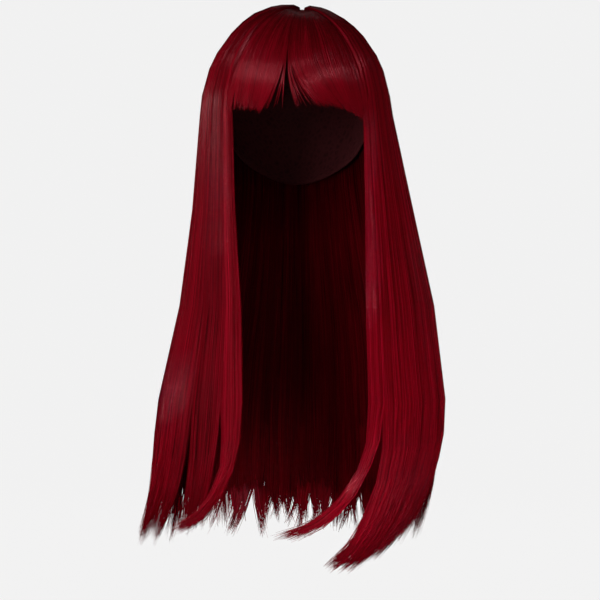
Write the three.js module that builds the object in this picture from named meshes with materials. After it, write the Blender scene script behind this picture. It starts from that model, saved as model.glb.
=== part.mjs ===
// A long straight wig with a parted fringe, shaped as it sits on a head: a thin cap, a parting strip and
// locks of hair.
// Millimetres, +Z up. The face looks along -Y and the wearer's left is +X.
// The origin is where the crown of the head meets the inside of the cap.
import * as THREE from "three";
import { mergeVertices } from "three/addons/utils/BufferGeometryUtils.js";

// The head that the wig fits: half its width and length, and its heights above and below the widest level
const HEAD_HALF_WIDTH = 75;
const HEAD_HALF_LENGTH = 95;
const CROWN_HEIGHT = 95;
const NAPE_DEPTH = 120;
const WIDEST_Z = -CROWN_HEIGHT;

// Cap, a net dome, and the height of its edge round the head: azimuth 0 is the forehead and 180 the nape
const CAP_WALL = 1.5;
const CAP_COLUMNS = 40;
const CAP_ROWS = 9;
const CAP_EDGE = [
  { azimuth: -45, z: -64 },
  { azimuth: 0, z: -46 },
  { azimuth: 45, z: -64 },
  { azimuth: 76, z: -118 },
  { azimuth: 100, z: -98 },
  { azimuth: 130, z: -136 },
  { azimuth: 180, z: -158 },
  { azimuth: 230, z: -136 },
];

// Parting: a line on top of the head, a little to the wearer's left, and the strip of false scalp below it
const PART_X = 5;
const PART_FRONT_Y = -30;
const PART_BACK_Y = 45;
const STRIP_WIDTH = 9;
const STRIP_WALL = 0.8;
const STRIP_COLUMNS = 2;
const STRIP_ROWS = 8;
const SEAT_GAP = 0.3;
const STRIP_SEAT = CAP_WALL + SEAT_GAP;
const HAIR_SEAT = STRIP_SEAT + STRIP_WALL + SEAT_GAP;

// Dome of hair over the cap, with a notch along the parting
const HAIR_TOP_Z = 13;
const DOME_HALF_WIDTH = 93.5;
const DOME_HALF_LENGTH = 114.5;
const ROOT_GAP = 2.5;
const ROOT_SHARE = 0.55;
const NOTCH_DEPTH = 6.5;
const NOTCH_WIDTH = 7;
const CROWN_LIFT = 2.5;

// Long hair. Each section is the outline at one height, from the front edge beside the face, out to the side
// and round to the middle of the back, on the wearer's left and right; wall is how thick the hair is there.
const SECTION_COLUMNS = [
  "z", "leftFrontX", "leftOutX", "rightFrontX", "rightOutX", "frontY", "sideY", "backY", "wall",
];
const SECTIONS = [
  [-95, 63, 92.5, -62, -94.5, -78, 0, 114.5, 14],
  [-125, 64.5, 99.5, -61, -96, -76, -1, 115.5, 13],
  [-160, 65, 108, -60, -99, -75, -3, 116, 12],
  [-230, 65, 121, -57, -106, -77, -8, 115, 10],
  [-300, 65.5, 137, -51.5, -117, -86, -12, 114, 9],
  [-375, 67.5, 144, -51, -135, -95, -15, 114, 8],
  [-440, 71, 143, -51, -138, -98, -16, 114, 6.5],
  [-550, 71, 140, -51, -140, -98, -16, 114, 3.5],
].map((values) => Object.fromEntries(values.map((value, index) => [SECTION_COLUMNS[index], value])));

// Locks. A place round the head runs from 0 at the middle of the back to 1 at the front edge.
// Each lock ends at `to`; below the split it sweeps sideways and forwards to its tip, turning by `turn` degrees,
// and narrows to the share `tip` of its width.
const SIDE_SPLIT_Z = -375;
const BACK_SPLIT_Z = -440;
const SIDE_END = 0.364;
const LEFT_LOCKS = [
  { to: 0.94, tipZ: -497, sweepX: -94, sweepY: -8, turn: 88, tip: 0.2 },
  { to: 0.825, tipZ: -528, sweepX: -68, sweepY: -4, turn: 78, tip: 0.2 },
  { to: 0.69, tipZ: -529, sweepX: -80, sweepY: -12, turn: 75, tip: 0.2 },
  { to: 0.56, tipZ: -523, sweepX: -77, sweepY: -28, turn: 70, tip: 0.2 },
  { to: 0.46, tipZ: -509, sweepX: -48, sweepY: -18, turn: 50, tip: 0.3 },
  { to: SIDE_END, tipZ: -512, sweepX: -22, sweepY: -6, turn: 45, tip: 0.4 },
];
const RIGHT_LOCKS = [
  { to: 0.92, tipZ: -489, sweepX: -54, sweepY: -9, turn: 88, tip: 0.2 },
  { to: 0.835, tipZ: -492, sweepX: -14, sweepY: 0, turn: 45, tip: 0.4 },
  { to: 0.735, tipZ: -505, sweepX: -27, sweepY: 0, turn: 45, tip: 0.3 },
  { to: 0.6, tipZ: -507, sweepX: -23, sweepY: 0, turn: 45, tip: 0.3 },
  { to: 0.48, tipZ: -503, sweepX: -11, sweepY: 0, turn: 45, tip: 0.4 },
  { to: SIDE_END, tipZ: -508, sweepX: -8, sweepY: 0, turn: 45, tip: 0.4 },
];
const BACK_END = 0.36;
const BACK_LOCKS = 10;
const BACK_TIP_Z = -514;
const BACK_TIP = 0.4;
const BACK_TURN = 40;
const BACK_SWEEP_X = -8;

// Tips behind are ragged: their lengths rise and fall by this much, at this step from lock to lock
const RAGGED = 7;
const RAGGED_STEP = 2.4;

// Hair sewn to the cap above the nape, a second layer inside the long hair
const NAPE_END = 0.34;
const NAPE_LOCKS = 8;
const NAPE_TIP_Z = -482;
const NAPE_SPLIT_Z = -400;
const LAYER_GAP = 1.3;
const NAPE_WALL = [
  { z: -110, wall: 3.4 },
  { z: -125, wall: 6 },
  { z: -160, wall: 12 },
  { z: -230, wall: 12 },
  { z: -310, wall: 9 },
  { z: -400, wall: 6 },
  { z: -520, wall: 3.5 },
];

// Fringe, a fan from the front of the parting to the brow. Places across it are X at the brow.
const BROW_HALF_WIDTH = 95;
const BROW_DEPTH = 112;
const BROW_Z = -114;
const FRINGE_WALL = 9;
const FRINGE_TIP_WALL = 0.4;
const FRINGE_ROOT_GAP = 5;
const FRINGE_START_X = -60;
const FRINGE_SPLIT_ANGLE = 46;
const FRINGE_LOCKS = [
  { to: -44, tipZ: -96, sweepX: 0, tip: 0.95 },
  { to: -28, tipZ: -98, sweepX: -2, tip: 0.85 },
  { to: -20, tipZ: -97, sweepX: -4, tip: 0.35 },
  { to: -13, tipZ: -99, sweepX: -4, tip: 0.5 },
  { to: -7, tipZ: -95, sweepX: -3, tip: 0.35 },
  { to: 0, tipZ: -97, sweepX: 2, tip: 0.75 },
  { to: 6, tipZ: -94, sweepX: 5, tip: 0.35 },
  { to: 24, tipZ: -92, sweepX: 14, tip: 0.85 },
  { to: 42, tipZ: -96, sweepX: 10, tip: 0.85 },
  { to: 54, tipZ: -102, sweepX: 6, tip: 0.8 },
  { to: 61, tipZ: -111, sweepX: 3, tip: 0.8 },
];

// Rows of a lock: angles over the dome, then heights down to the split, then shares of the free end
const CROWN_ANGLES = [0, 6, 16, 30, 46, 62, 77];
const FREE_SHARES = [0.25, 0.5, 0.72, 0.88, 1];
const LONG_COLUMNS = 4;
const NAPE_COLUMNS = 3;
const FRINGE_COLUMNS = 2;
const GROOVE = 0.3;
const EDGE_ROUND = 0.3;
const SLIT = 0.04;

// Corners nearer than this are one corner
const MERGE = 1e-3;

const { clamp, degToRad, lerp } = THREE.MathUtils;

// A column of a table at a place between its rows, along a smooth curve.
function readTable(table, by, at, name) {
  const last = table.length - 1;
  const direction = Math.sign(table[last][by] - table[0][by]);
  const next = table.findIndex((row) => direction * (row[by] - at) >= 0);
  if (next === 0) return table[0][name];
  if (next < 0) return table[last][name];
  const slope = (a, b) => (table[b][name] - table[a][name]) / (table[b][by] - table[a][by]);
  const here = next - 1;
  const span = table[next][by] - table[here][by];
  const startSlope = slope(Math.max(here - 1, 0), next) * span;
  const endSlope = slope(here, Math.min(next + 1, last)) * span;
  const t = (at - table[here][by]) / span;
  const s = 1 - t;
  const ends = table[here][name] * s * s * (1 + 2 * t) + table[next][name] * t * t * (1 + 2 * s);
  return ends + startSlope * t * s * s - endSlope * t * t * s;
}

// A point on the head grown outwards by `offset`; `polar` is the angle down from the crown.
function headPoint(azimuth, polar, offset) {
  const level = Math.cos(polar);
  const height = (level > 0 ? CROWN_HEIGHT : NAPE_DEPTH) + offset;
  return new THREE.Vector3(
    (HEAD_HALF_WIDTH + offset) * Math.sin(polar) * Math.sin(azimuth),
    -(HEAD_HALF_LENGTH + offset) * Math.sin(polar) * Math.cos(azimuth),
    WIDEST_Z + height * level,
  );
}

// How high the head grown by `offset` stands above its widest level over a point in plan.
function headHeight(x, y, offset) {
  const across = x / (HEAD_HALF_WIDTH + offset);
  const along = y / (HEAD_HALF_LENGTH + offset);
  return (CROWN_HEIGHT + offset) * Math.sqrt(1 - across * across - along * along);
}

// The hair's outline at a height, moved inwards by `inset`. `around` is negative on the wearer's right.
function sectionPoint(around, z, inset) {
  const side = around < 0 ? "right" : "left";
  const read = (name) => readTable(SECTIONS, "z", z, name);
  const angle = Math.abs(around) * Math.PI;
  const outX = read(side + "OutX") - Math.sign(around) * inset;
  const sideY = read("sideY");
  if (angle <= Math.PI / 2) {
    const backY = read("backY") - inset;
    return new THREE.Vector3(outX * Math.sin(angle), sideY + (backY - sideY) * Math.cos(angle), z);
  }
  const frontX = read(side + "FrontX");
  const frontY = read("frontY") + inset;
  const x = frontX + (outX - frontX) * Math.sin(angle);
  return new THREE.Vector3(x, sideY + (sideY - frontY) * Math.cos(angle), z);
}

// A point on the dome, on the way from a root on the parting to the rim, where the hair hangs straight down.
// `depth` runs from 0 at the outside of the hair to 1 at the cap.
function domePoint(rootY, rootGap, rim, angle, depth) {
  const share = Math.sin(angle);
  const root = new THREE.Vector2(PART_X, rootY);
  const end = new THREE.Vector2(rim.x, rim.y);
  const start = end.clone().sub(root).setLength(rootGap).add(root);
  const plan = start.clone().lerp(end, share);
  const size = new THREE.Vector2(
    lerp(DOME_HALF_WIDTH, HEAD_HALF_WIDTH + HAIR_SEAT, depth),
    lerp(DOME_HALF_LENGTH, HEAD_HALF_LENGTH + HAIR_SEAT, depth),
  );
  const reach = start.divide(size).lerp(end.divide(size).normalize(), share).lengthSq();
  const height = lerp(HAIR_TOP_Z, HAIR_SEAT, depth) - rim.z;
  const notch = NOTCH_DEPTH * Math.exp(-((plan.distanceTo(root) / NOTCH_WIDTH) ** 2));
  const lift = CROWN_LIFT * depth * Math.sin(2 * angle);
  const z = rim.z + height * Math.sqrt(1 - reach) + lift - notch * (1 - depth);
  return new THREE.Vector3(plan.x, plan.y, z);
}

// How a lock's free end runs: across it, down it and sideways, at a share of the way to the tip.
function freeEnd(lock, share, splitZ) {
  const turn = degToRad(lock.turn);
  const swing = (1 - Math.cos(turn * share)) / (1 - Math.cos(turn));
  return {
    width: 1 - SLIT - (1 - SLIT - lock.tip) * share ** 3,
    z: lerp(splitZ, lock.tipZ, Math.sin(turn * share) / Math.sin(turn)),
    x: lock.sweepX * swing,
    y: lock.sweepY * swing,
  };
}

// How far into the hair a lock's surface lies: its edges are grooved outside and, where it hangs free, inside.
function lockDepth(side, across, share) {
  const edge = across * across;
  return side === "outer" ? GROOVE * edge : 1 - EDGE_ROUND * edge * Math.min(1, 2 * share);
}

function longHairPoint(splitZ, lock, across, row, side) {
  const depth = lockDepth(side, across, row.share ?? 0);
  const middle = (lock.low + lock.high) / 2;
  const half = (lock.high - lock.low) / 2;
  if (row.angle !== undefined) {
    const around = middle + half * across;
    const rim = sectionPoint(around, WIDEST_Z, depth * SECTIONS[0].wall);
    const rootY = clamp(ROOT_SHARE * sectionPoint(around, WIDEST_Z, 0).y, PART_FRONT_Y, PART_BACK_Y);
    return domePoint(rootY, ROOT_GAP, rim, degToRad(row.angle), depth);
  }
  const free = row.share ? freeEnd(lock, row.share, splitZ) : { width: 1, z: row.z, x: 0, y: 0 };
  const wall = readTable(SECTIONS, "z", free.z, "wall");
  const point = sectionPoint(middle + half * across * free.width, free.z, depth * wall);
  return point.add(new THREE.Vector3(free.x, free.y, 0));
}

function napePoint(lock, across, row, side) {
  const depth = lockDepth(side, across, row.share ?? 0);
  const middle = (lock.low + lock.high) / 2;
  const half = (lock.high - lock.low) / 2;
  const free = row.share ? freeEnd(lock, row.share, NAPE_SPLIT_Z) : { width: 1, z: row.z, x: 0, y: 0 };
  const layer = readTable(SECTIONS, "z", free.z, "wall") + LAYER_GAP;
  const wall = readTable(NAPE_WALL, "z", free.z, "wall");
  const point = sectionPoint(middle + half * across * free.width, free.z, layer + depth * wall);
  return point.add(new THREE.Vector3(free.x, free.y, 0));
}

function fringePoint(lock, across, row, side) {
  const share = row.share ?? 0;
  const middle = (lock.low + lock.high) / 2;
  const half = (lock.high - lock.low) / 2;
  const width = share ? 1 - SLIT - (1 - SLIT - lock.tip) * share : 1;
  const browX = lock.sweepX * share * share - (middle + half * across * width);
  const tipAngle = Math.acos((lock.tipZ - BROW_Z) / (HAIR_TOP_Z - BROW_Z));
  const angle = share ? lerp(degToRad(FRINGE_SPLIT_ANGLE), tipAngle, share) : degToRad(row.angle);
  const depth = lockDepth(side, across, share) * lerp(1, FRINGE_TIP_WALL, share * share);
  const inset = FRINGE_WALL * depth;
  const browY = -(BROW_DEPTH - inset) * Math.sqrt(1 - (browX / BROW_HALF_WIDTH) ** 2);
  return domePoint(PART_FRONT_Y, FRINGE_ROOT_GAP, new THREE.Vector3(browX, browY, BROW_Z), angle, depth);
}

// A geometry from corner points taken three at a time, with shared corners merged.
function geometryFrom(corners) {
  const geometry = mergeVertices(new THREE.BufferGeometry().setFromPoints(corners), MERGE);
  geometry.computeVertexNormals();
  return geometry;
}

// Pushes a four-sided face as two triangles, leaving out a side that has shrunk to a point.
function pushQuad(corners, a, b, c, d) {
  const thin = (p, q) => p.distanceTo(q) < MERGE;
  if (!thin(a, b)) corners.push(a, b, c);
  if (!thin(c, d)) corners.push(a, c, d);
}

// Fuses locks into one closed wall: neighbours share their edges down to the split row and hang free below it.
function fuseLocks(locks, rows, splitRow, columns, pointAt) {
  const corners = [];
  const last = rows.length - 1;
  locks.forEach((lock, index) => {
    const at = (column, row, side) => pointAt(lock, (2 * column) / columns - 1, rows[row], side);
    const face = (...places) => pushQuad(corners, ...places.map((place) => at(...place)));
    const closeEdge = (column, firstRow, top, bottom) => {
      for (let row = firstRow; row < last; row++) {
        face([column, row, top], [column, row + 1, top], [column, row + 1, bottom], [column, row, bottom]);
      }
    };
    for (let column = 0; column < columns; column++) {
      const next = column + 1;
      for (let row = 0; row < last; row++) {
        const below = row + 1;
        face([column, row, "outer"], [next, row, "outer"], [next, below, "outer"], [column, below, "outer"]);
        face([next, row, "inner"], [column, row, "inner"], [column, below, "inner"], [next, below, "inner"]);
      }
      face([column, 0, "inner"], [next, 0, "inner"], [next, 0, "outer"], [column, 0, "outer"]);
      face([column, last, "outer"], [next, last, "outer"], [next, last, "inner"], [column, last, "inner"]);
    }
    closeEdge(0, index === 0 ? 0 : splitRow, "outer", "inner");
    closeEdge(columns, index === locks.length - 1 ? 0 : splitRow, "inner", "outer");
  });
  return geometryFrom(corners);
}

// Locks from a table whose rows say where each one ends, in rising order; sign -1 mirrors their places.
function locksFrom(table, start, sign) {
  let from = sign * start;
  const locks = table.map((row) => {
    const to = sign * row.to;
    const lock = { ...row, low: Math.min(from, to), high: Math.max(from, to) };
    from = to;
    return lock;
  });
  return locks.sort((a, b) => a.low - b.low);
}

// Equal locks across the back, with ragged tips.
function evenLocks(count, end, tipZ, sweepX) {
  const step = (2 * end) / count;
  return Array.from({ length: count }, (_, index) => ({
    low: -end + index * step,
    high: -end + (index + 1) * step,
    tipZ: tipZ - RAGGED * Math.sin(RAGGED_STEP * index + 1),
    sweepX,
    sweepY: 0,
    turn: BACK_TURN,
    tip: BACK_TIP,
  }));
}

// A long-haired panel from the parting to the tips.
function longPanel(locks, splitZ) {
  const heights = SECTIONS.map((section) => section.z).filter((z) => z >= splitZ);
  const rows = [
    ...CROWN_ANGLES.map((angle) => ({ angle })),
    ...heights.map((z) => ({ z })),
    ...FREE_SHARES.map((share) => ({ share })),
  ];
  const splitRow = CROWN_ANGLES.length + heights.length - 1;
  return fuseLocks(locks, rows, splitRow, LONG_COLUMNS, (...place) => longHairPoint(splitZ, ...place));
}

function napePanel() {
  const heights = NAPE_WALL.map((row) => row.z).filter((z) => z >= NAPE_SPLIT_Z);
  const rows = [...heights.map((z) => ({ z })), ...FREE_SHARES.map((share) => ({ share }))];
  const locks = evenLocks(NAPE_LOCKS, NAPE_END, NAPE_TIP_Z, 0);
  return fuseLocks(locks, rows, heights.length - 1, NAPE_COLUMNS, napePoint);
}

function fringePanel() {
  const angles = [...CROWN_ANGLES.filter((angle) => angle < FRINGE_SPLIT_ANGLE), FRINGE_SPLIT_ANGLE];
  const rows = [...angles.map((angle) => ({ angle })), ...FREE_SHARES.map((share) => ({ share }))];
  const locks = locksFrom(FRINGE_LOCKS, FRINGE_START_X, -1);
  return fuseLocks(locks, rows, angles.length - 1, FRINGE_COLUMNS, fringePoint);
}

// Joins an outer and an inner grid of points into a closed wall. A ring has no side edges.
function closedWall(columns, rows, isRing, pointAt) {
  const corners = [];
  const at = (column, row, side) => pointAt(column, row, side);
  for (let column = 0; column < columns; column++) {
    const next = isRing ? (column + 1) % columns : column + 1;
    for (let row = 0; row < rows; row++) {
      const below = row + 1;
      pushQuad(corners, at(column, row, 1), at(next, row, 1), at(next, below, 1), at(column, below, 1));
      pushQuad(corners, at(next, row, 0), at(column, row, 0), at(column, below, 0), at(next, below, 0));
    }
    pushQuad(corners, at(column, rows, 1), at(next, rows, 1), at(next, rows, 0), at(column, rows, 0));
    if (!isRing) pushQuad(corners, at(column, 0, 0), at(next, 0, 0), at(next, 0, 1), at(column, 0, 1));
  }
  for (let row = 0; row < rows && !isRing; row++) {
    pushQuad(corners, at(0, row, 0), at(0, row, 1), at(0, row + 1, 1), at(0, row + 1, 0));
    pushQuad(corners, at(columns, row, 1), at(columns, row, 0), at(columns, row + 1, 0), at(columns, row + 1, 1));
  }
  return geometryFrom(corners);
}

function capGeometry() {
  return closedWall(CAP_COLUMNS, CAP_ROWS, true, (column, row, side) => {
    const turn = (360 * column) / CAP_COLUMNS;
    const edgeZ = readTable(CAP_EDGE, "azimuth", Math.min(turn, 360 - turn), "z");
    const drop = edgeZ - WIDEST_Z;
    const edgePolar = Math.acos(drop / (drop > 0 ? CROWN_HEIGHT : NAPE_DEPTH));
    return headPoint(degToRad(-turn), (edgePolar * row) / CAP_ROWS, side * CAP_WALL);
  });
}

function stripGeometry() {
  return closedWall(STRIP_COLUMNS, STRIP_ROWS, false, (column, row, side) => {
    const x = PART_X + STRIP_WIDTH * (column / STRIP_COLUMNS - 0.5);
    const y = lerp(PART_FRONT_Y, PART_BACK_Y, row / STRIP_ROWS);
    return new THREE.Vector3(x, y, WIDEST_Z + headHeight(x, y, STRIP_SEAT + side * STRIP_WALL));
  });
}

const hair = new THREE.MeshStandardMaterial({ color: 0x760813, roughness: 0.42, metalness: 0 });
const net = new THREE.MeshStandardMaterial({ color: 0x2a0d10, roughness: 0.85, metalness: 0 });
const scalp = new THREE.MeshStandardMaterial({ color: 0xc9a48c, roughness: 0.7, metalness: 0 });

const wig = new THREE.Group();
function addPiece(name, geometry, material) {
  const mesh = new THREE.Mesh(geometry, material);
  mesh.name = name;
  wig.add(mesh);
}

addPiece("wig_cap", capGeometry(), net);
addPiece("part_strip", stripGeometry(), scalp);
addPiece("fringe", fringePanel(), hair);
addPiece("side_hair_left", longPanel(locksFrom(LEFT_LOCKS, 1, 1), SIDE_SPLIT_Z), hair);
addPiece("side_hair_right", longPanel(locksFrom(RIGHT_LOCKS, 1, -1), SIDE_SPLIT_Z), hair);
addPiece("back_hair", longPanel(evenLocks(BACK_LOCKS, BACK_END, BACK_TIP_Z, BACK_SWEEP_X), BACK_SPLIT_Z), hair);
addPiece("nape_hair", napePanel(), hair);

export default wig;
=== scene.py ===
"""The looks of a long straight wig: a net cap, a parting strip, and dark red hair as combed locks
covered with strands. Lengths are in millimetres until a mesh is made, and in metres on the stage."""

import math

import bpy
import numpy as np
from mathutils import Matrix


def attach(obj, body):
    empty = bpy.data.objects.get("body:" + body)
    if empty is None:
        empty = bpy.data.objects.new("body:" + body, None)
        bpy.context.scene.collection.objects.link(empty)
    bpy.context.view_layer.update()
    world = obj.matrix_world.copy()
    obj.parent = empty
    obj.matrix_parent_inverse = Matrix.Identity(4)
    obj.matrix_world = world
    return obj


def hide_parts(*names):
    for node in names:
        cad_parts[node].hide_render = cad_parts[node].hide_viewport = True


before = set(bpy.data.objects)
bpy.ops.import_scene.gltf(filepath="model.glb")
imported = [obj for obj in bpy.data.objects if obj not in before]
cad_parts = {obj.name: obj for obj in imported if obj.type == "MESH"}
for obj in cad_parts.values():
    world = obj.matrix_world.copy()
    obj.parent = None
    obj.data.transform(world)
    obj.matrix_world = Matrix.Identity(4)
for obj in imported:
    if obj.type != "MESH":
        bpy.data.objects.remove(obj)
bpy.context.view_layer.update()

MM = 0.001
rng = np.random.default_rng(20)

# Head, with half its width and length, and cap
HEAD_HALF = np.array([75.0, 95.0])
CROWN_HEIGHT = 95.0
NAPE_DEPTH = 120.0
WIDEST_Z = -CROWN_HEIGHT
CAP_WALL = 1.5

# Lower edge of the cap: degrees round from the face, and height
CAP_EDGE = np.array([
    [-45, -64], [0, -46], [45, -64], [76, -118],
    [100, -98], [130, -136], [180, -158], [230, -136],
], float)

# Net of the cap: its rows crowd at the hem, and it has knitted ridges inside
CAP_COLUMNS = 144
CAP_ROWS = np.concatenate([np.linspace(0.004, 0.96, 56), [0.968, 0.975, 0.985, 0.993, 1.0]])
CAP_SINK = 0.15
HEM_START = 0.966
HEM_DEPTH = 0.4
KNIT_WAVES = 48
KNIT_DEPTH = 0.12

# Parting and the strip below it
PART_X = 5.0
PART_FRONT_Y = -30.0
PART_BACK_Y = 45.0
SEAT_GAP = 0.3
STRIP_WIDTH = 9.0
STRIP_WALL = 0.8
STRIP_COLUMNS = 9
STRIP_ROWS = 40
STRIP_SEAT = CAP_WALL + SEAT_GAP
HAIR_SEAT = STRIP_SEAT + STRIP_WALL + SEAT_GAP

# Dome of hair over the cap, with a notch at the parting and a low bulge on the right
HAIR_TOP_Z = 13.0
DOME_HALF = np.array([93.5, 114.5])
ROOT_GAP = 2.5
ROOT_SHARE = 0.55
NOTCH_DEPTH = 5.5
NOTCH_WIDTH = 3.6
FRINGE_NOTCH = 13.0
CROWN_LIFT = 2.5
BULGE = 3.4
BULGE_X = -42.0
BULGE_WIDTH = 20.0

# Outline of the long hair by height
SECTION_NAMES = "z left_front left_out right_front right_out front_y side_y back_y wall".split()
SECTION_ROWS = (
    (-95, 63, 92.5, -62, -94.5, -78, 0, 114.5, 14),
    (-125, 64.5, 99.5, -61, -96, -76, -1, 115.5, 13),
    (-160, 65, 108, -60, -99, -75, -3, 116, 12),
    (-230, 65, 121, -57, -106, -77, -8, 115, 10),
    (-300, 65.5, 137, -51.5, -117, -86, -12, 114, 9),
    (-375, 67.5, 144, -51, -135, -95, -15, 114, 8),
    (-440, 71, 143, -51, -138, -98, -16, 114, 6.5),
    (-550, 71, 140, -51, -140, -98, -16, 114, 3.5),
)
SECTION = dict(zip(SECTION_NAMES, np.array(SECTION_ROWS, float).T))

# Locks: where each ends round the head or along the brow, the height of its tip, its sweep sideways and
# forwards, its turn in degrees, and the share of its width that is left at the tip
LOCK_NAMES = ("to", "tip_z", "sweep_x", "sweep_y", "turn", "tip")
CROWN_BIAS = 1.35
SIDE_SPLIT_Z = -375.0
BACK_SPLIT_Z = -440.0
SIDE_END = 0.364
LEFT_LOCKS = (
    (0.94, -497, -94, -8, 88, 0.2),
    (0.825, -528, -68, -4, 78, 0.2),
    (0.69, -529, -80, -12, 75, 0.2),
    (0.56, -523, -77, -28, 70, 0.2),
    (0.46, -509, -48, -18, 50, 0.3),
    (SIDE_END, -512, -22, -6, 45, 0.4),
)
RIGHT_LOCKS = (
    (0.92, -489, -54, -9, 88, 0.2),
    (0.805, -492, -14, 0, 45, 0.4),
    (0.735, -505, -27, 0, 45, 0.3),
    (0.6, -507, -23, 0, 45, 0.3),
    (0.48, -503, -11, 0, 45, 0.4),
    (SIDE_END, -508, -8, 0, 45, 0.4),
)
BACK_END = 0.36
BACK_LOCKS = 10
BACK_TIP_Z = -514.0
BACK_TIP = 0.4
BACK_TURN = 40.0
BACK_SWEEP_X = -8.0
RAGGED = 7.0
RAGGED_STEP = 2.4
NAPE_END = 0.34
NAPE_LOCKS = 8
NAPE_TIP_Z = -482.0
NAPE_TOP_Z = -110.0
NAPE_SPLIT_Z = -400.0
LAYER_GAP = 1.3
NAPE_WALL = np.array([[-110, 3.4], [-125, 6], [-160, 12], [-230, 12], [-310, 9], [-400, 6], [-520, 3.5]])

# Free ends: how far strands spread at the tip, how uneven clumps are in length, and the share of the
# free end that has a solid body
SIDE_ENDS = {"loose": (0.0, 0.35), "uneven": 0.06, "body": 0.66}
BACK_ENDS = {"loose": (0.7, 1.1), "uneven": 0.2, "body": 0.3}

# How much lighter or darker each lock is, from the front edge back
# Partly the locks' own tones, partly painted light: a painted sheen on the front locks and painted shade on
# some locks behind them
LEFT_TONES_AND_PAINTED_LIGHT = np.array([0.3, 0.02, -0.06, 0.0, -0.03, -0.05])
RIGHT_TONES_AND_PAINTED_LIGHT = np.array([0.14, -0.25, -0.12, -0.02, 0.02, -0.05])

# How far each lock draws away from its neighbours below, as a share of its width, and what stays in
# place: 1 is its front edge, 0 its middle, -1 its back edge
LEFT_OPEN = np.array([[0.45, 1], [0.06, 0], [0.06, 0], [0.06, 0], [0.1, 0], [0.14, 0]])
RIGHT_OPEN = np.array([[0.42, 1], [0.12, 0], [0.12, -1], [0.04, 0], [0.1, 0], [0.14, 0]])

# Fringe
BROW_HALF_WIDTH = 95.0
BROW_DEPTH = 112.0
BROW_Z = -114.0
FRINGE_WALL = 9.0
FRINGE_TIP_WALL = 0.4
FRINGE_ROOT_GAP = 5.0
FRINGE_START_X = -60.0
FRINGE_SPLIT = 46.0
FRINGE_LOCKS = (
    (-44, -96, 0, 0, 0, 0.95),
    (-28, -98, -2, 0, 0, 0.85),
    (-20, -97, -4, 0, 0, 0.35),
    (-13, -99, -4, 0, 0, 0.5),
    (-7, -95, -3, 0, 0, 0.35),
    (0, -97, 2, 0, 0, 0.75),
    (6, -94, 5, 0, 0, 0.35),
    (24, -92, 14, 0, 0, 0.85),
    (42, -96, 10, 0, 0, 0.85),
    (54, -102, 6, 0, 0, 0.8),
    (61, -111, 3, 0, 0, 0.8),
)

# How far down its free end each lock of the fringe has a solid body
FRINGE_BODY = np.array([0.9, 0.86, 0.3, 0.1, 0.02, 0.1, 0.2, 0.8, 0.9, 0.92, 0.92])

# How much lighter the strands of the fringe are, which is painted light, and how far their tones even out
FRINGE_PAINTED_LIGHT = 0.1
FRINGE_EVEN = 0.3
EVEN_TONE = 0.5

# Fan of the fringe's strands: place at the brow, sweep at the tip, height of the tip, and how dense they
# are. The outermost rows close it to the side hair.
FAN = np.array([
    [-74, 0, -84, 0.5], [-64, 0, -98, 0.7], [-60, 0, -95, 1.0], [-59, 0, -95, 0.1],
    [-57, 0, -95, 0.1], [-56, 0, -95, 1.0], [-44, -2, -95, 1.0], [-30, -7, -97, 1.0],
    [-20, -15, -98, 0.8], [-15.5, -18.5, -97, 0.5], [-15.4, -18.5, -97, 0.0], [-9.1, 28.5, -92, 0.0],
    [-9, 28.5, -92, 0.6], [0, 28, -91, 0.8], [6.8, 27.4, -92, 0.9], [7.2, 27.3, -92, 0.1],
    [8.6, 27.2, -92, 0.1], [9, 27, -92, 0.9], [20.6, 25.2, -95, 1.0], [21, 25.1, -95, 0.1],
    [22.8, 24.9, -95, 0.1], [23.2, 24.8, -95, 1.0], [34, 18, -97, 1.0], [46, 11, -101, 1.0],
    [54, 7, -105, 1.0], [61, 3.5, -112, 1.0], [67, 1, -119, 0.9], [74, 0, -126, 0.6],
])

# Wisps between the fringe's halves: X at the tip, half the spread of the tips, and strands
WISPS = np.array([
    [-31, 1.0, 5], [-28.5, 0.7, 4], [-21, 1.3, 5], [-13, 0.4, 2], [1, 2.3, 18],
    [5.5, 0.6, 2], [9.5, 0.5, 2], [13, 0.9, 2], [17, 0.8, 2],
])

# A change along the hair grows to its full size within a third of the length
GROWTH = 3

# Lock bodies: depths are millimetres in the long hair, and shares of the wall elsewhere
BODY_SINK = 1.4
BODY_ROUGH = 0.5
LEAST_WALL = 0.3
LOOK_GROOVE = 0.14
NAPE_GROOVE = 0.3
NAPE_ROUGH = 0.05
FRINGE_SINK = 0.16
FRINGE_GROOVE = 0.12
FRINGE_ROUGH = 0.08
EDGE_ROUND = 0.3
SLIT = 0.04
ROUGH_END = 0.12
RIDGE_STEP = 0.004
FRINGE_STEP = 1.2
RIDGES = 4001

# Strip of shades: each strand or streak has one, and runs along it
SHADES = 64
SHADE_EDGE = 0.15
# The lock bodies below the strands take darker shades: painted shade where they show between strands
BODY_PAINTED_SHADE_RANGE = (8, 30)
STREAK = 1.25
LEAST_STREAKS = 4
HALF_GIRTH = 300.0
HAIR_LENGTH = 680.0
ROOT_PLACE = 0.002
END_PLACE = 0.001

# Strands: how many, how many of a side's lie on its inner face, and their form
LONG_STRANDS = 1780
SIDE_INSIDE = 150
NAPE_STRANDS = 1200
FRINGE_STRANDS = 1750
HEAD_MIDDLE_Y = 5.0
RIDGE = 0.5
STRAND_ROUND = 0.9
STRAND_LEAN = 0.1
STRAND_ROOT = 0.45
STRAND_TIP = 0.15
STRAND_TAPER = 0.14
LONG_THICK = (0.35, 0.75)
NAPE_THICK = (0.4, 0.75)
FRINGE_THICK = (0.22, 0.5)

# Tones of clumps, of fine streaks and of single strands
CLUMP_TONES = (0.27, 0.73)
FINE_TONE = 0.2
FINE_STREAK = 2.6
TONE_SPREAD = 0.16
FRINGE_SPREAD = 0.14

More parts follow.
